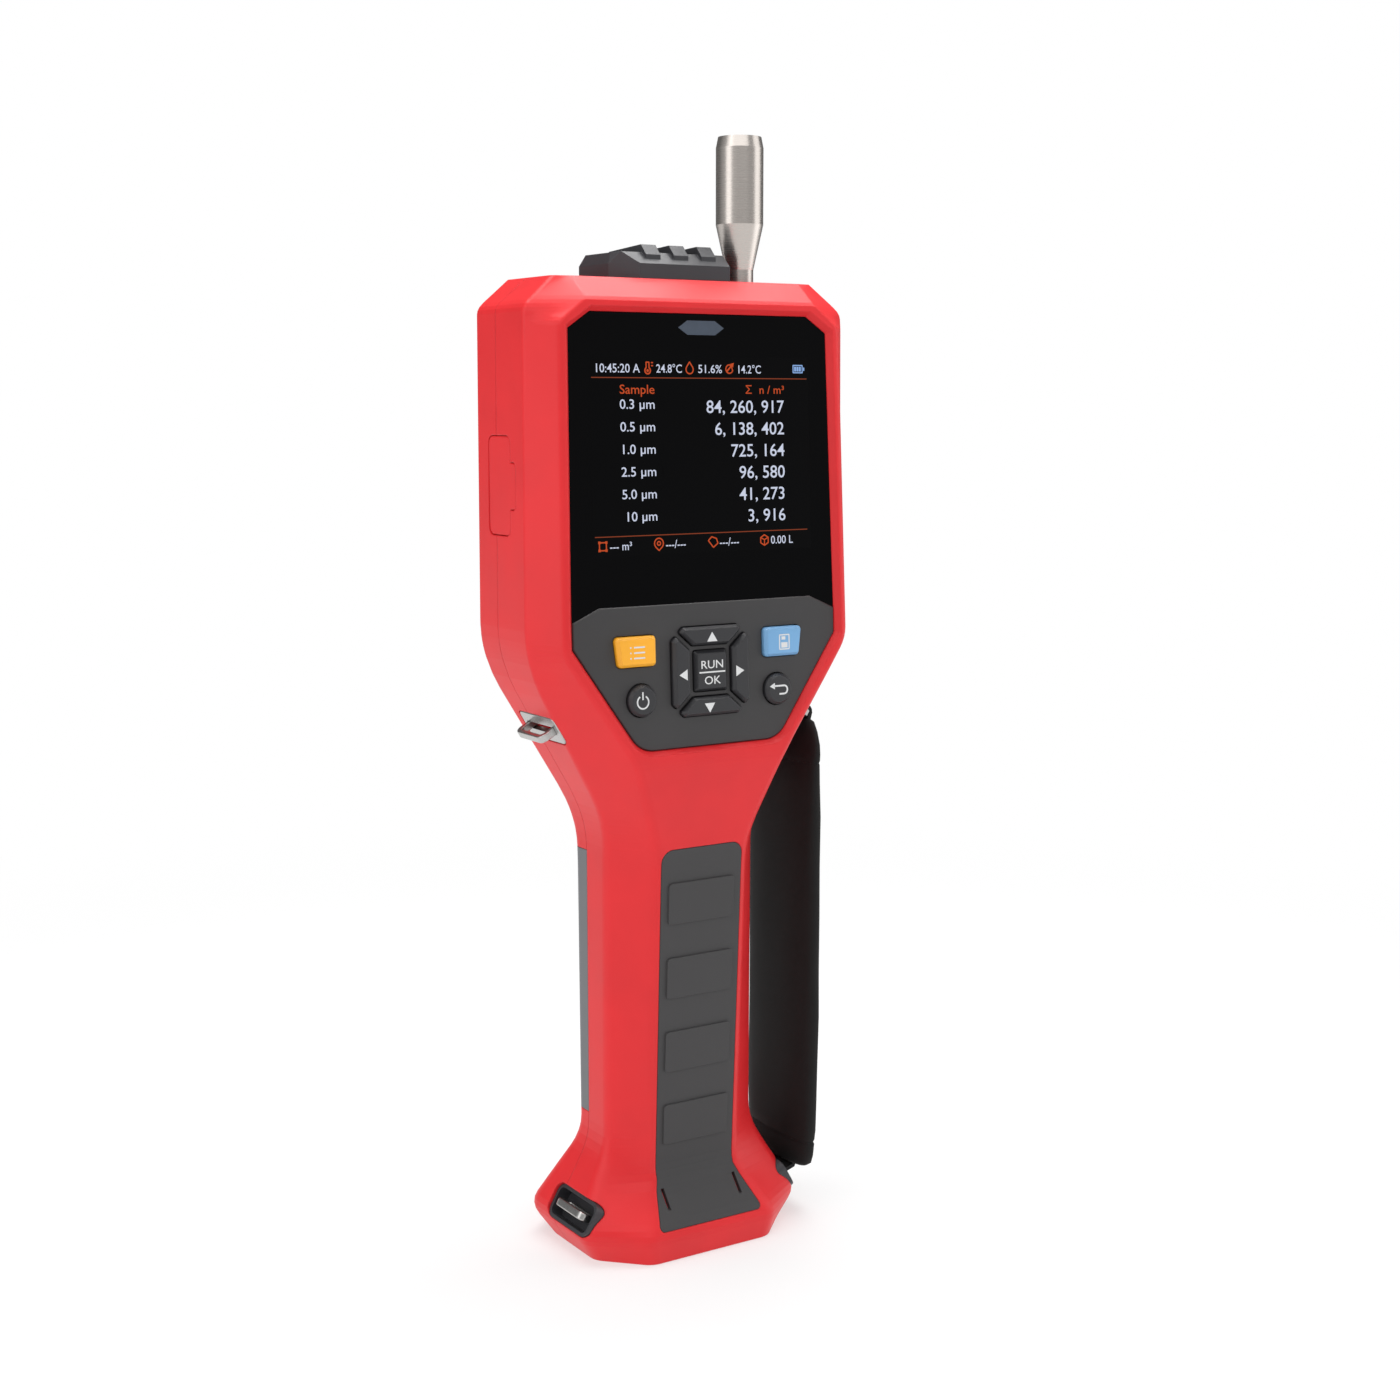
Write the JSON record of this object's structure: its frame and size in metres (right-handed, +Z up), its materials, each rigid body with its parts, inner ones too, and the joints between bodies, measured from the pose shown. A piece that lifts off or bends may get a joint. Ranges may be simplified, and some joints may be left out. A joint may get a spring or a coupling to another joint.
{
  "type": "airborne particle counter",
  "caption": "Hand-held air particle counter with a wide screen head, keypad, slim grip, padded hand strap and a metal air inlet on top.",
  "frame": {"origin": "on the standing face, in the plane where the front and rear housings meet, on the middle line", "axes": "+Z up along the handle, -Y towards the screen, +X towards the hand strap and the air inlet"},
  "size_m": [0.1028, 0.0507, 0.3126],
  "materials": {
    "red_abs": "textured moulded plastic",
    "dark_rubber": "soft-touch moulded rubber",
    "key_panel": "fine satin moulding",
    "grey_key": "fine satin moulding",
    "orange_key": "satin",
    "blue_key": "satin",
    "black_glass": "polished",
    "milky_lens": "diffusing",
    "screen": "lit display",
    "grey_abs": "fine textured moulding",
    "dark_abs": "fine textured moulding",
    "stainless": "turned and brushed",
    "zinc": "bead-blasted casting",
    "screw_steel": "zinc plated",
    "brass": "turned",
    "board": "solder mask",
    "battery_film": "shrink film",
    "black_webbing": "woven",
    "black_sleeve": "knitted over foam",
    "silicone": "translucent",
    "black_aluminium": "anodised"
  },
  "bodies": {
    "housing": {"front_housing": "red_abs", "rear_housing": "red_abs", "display_window": "black_glass", "status_lens": "milky_lens", "lcd_module": "screen", "keypad_panel": "key_panel", "keypad_mat": "silicone", "main_board": "board", "board_screws": "screw_steel", "buzzer": "dark_abs", "front_grip": "dark_rubber", "battery_cover": "grey_abs", "battery_pack": "battery_film", "cover_screws": "screw_steel", "housing_screws": "screw_steel", "usb_port": "stainless", "port_board": "board", "upper_right_loop": "zinc", "upper_left_loop": "zinc", "lower_right_loop": "zinc", "lower_left_loop": "zinc", "upper_right_bezel": "zinc", "upper_left_bezel": "zinc", "lower_right_cup": "dark_abs", "lower_left_cup": "dark_abs", "strap_webbing": "black_webbing", "strap_sleeve": "black_sleeve", "inlet_probe": "stainless", "inlet_nipple": "stainless", "sample_tube": "silicone", "optical_sensor": "black_aluminium", "laser_module": "brass", "air_pump": "grey_abs", "exhaust_filter": "milky_lens", "sensor_guard": "dark_abs", "humidity_sensor": "board", "tripod_insert": "brass"},
    "menu_key": {"menu_key": "orange_key"},
    "save_key": {"save_key": "blue_key"},
    "up_key": {"up_key": "grey_key"},
    "down_key": {"down_key": "grey_key"},
    "left_key": {"left_key": "grey_key"},
    "right_key": {"right_key": "grey_key"},
    "start_key": {"start_key": "grey_key"},
    "power_key": {"power_key": "grey_key"},
    "back_key": {"back_key": "grey_key"},
    "usb_cover": {"usb_cover": "red_abs"}
  },
  "joints": [
    {"name": "menu_press", "type": "slide", "parent": "housing", "child": "menu_key", "axis": [0, 0.9991, -0.0419], "range_m": [0, 0.0008], "stiffness_N_per_m": 1500, "springref_m": -0.0003},
    {"name": "save_press", "type": "slide", "parent": "housing", "child": "save_key", "axis": [0, 0.9991, -0.0419], "range_m": [0, 0.0008], "stiffness_N_per_m": 1500, "springref_m": -0.0003},
    {"name": "up_press", "type": "slide", "parent": "housing", "child": "up_key", "axis": [0, 0.9991, -0.0419], "range_m": [0, 0.0008], "stiffness_N_per_m": 1500, "springref_m": -0.0003},
    {"name": "down_press", "type": "slide", "parent": "housing", "child": "down_key", "axis": [0, 0.9991, -0.0419], "range_m": [0, 0.0008], "stiffness_N_per_m": 1500, "springref_m": -0.0003},
    {"name": "left_press", "type": "slide", "parent": "housing", "child": "left_key", "axis": [0, 0.9991, -0.0419], "range_m": [0, 0.0008], "stiffness_N_per_m": 1500, "springref_m": -0.0003},
    {"name": "right_press", "type": "slide", "parent": "housing", "child": "right_key", "axis": [0, 0.9991, -0.0419], "range_m": [0, 0.0008], "stiffness_N_per_m": 1500, "springref_m": -0.0003},
    {"name": "start_press", "type": "slide", "parent": "housing", "child": "start_key", "axis": [0, 0.9991, -0.0419], "range_m": [0, 0.0008], "stiffness_N_per_m": 1500, "springref_m": -0.0003},
    {"name": "power_press", "type": "slide", "parent": "housing", "child": "power_key", "axis": [0, 0.9991, -0.0419], "range_m": [0, 0.0008], "stiffness_N_per_m": 1500, "springref_m": -0.0003},
    {"name": "back_press", "type": "slide", "parent": "housing", "child": "back_key", "axis": [0, 0.9991, -0.0419], "range_m": [0, 0.0008], "stiffness_N_per_m": 1500, "springref_m": -0.0003},
    {"name": "usb_cover_hinge", "type": "hinge", "parent": "housing", "child": "usb_cover", "pos_m": [-0.05115, 0.0046, 0.2176], "axis": [0, 0, -1], "range_deg": [0, 100]}
  ]
}
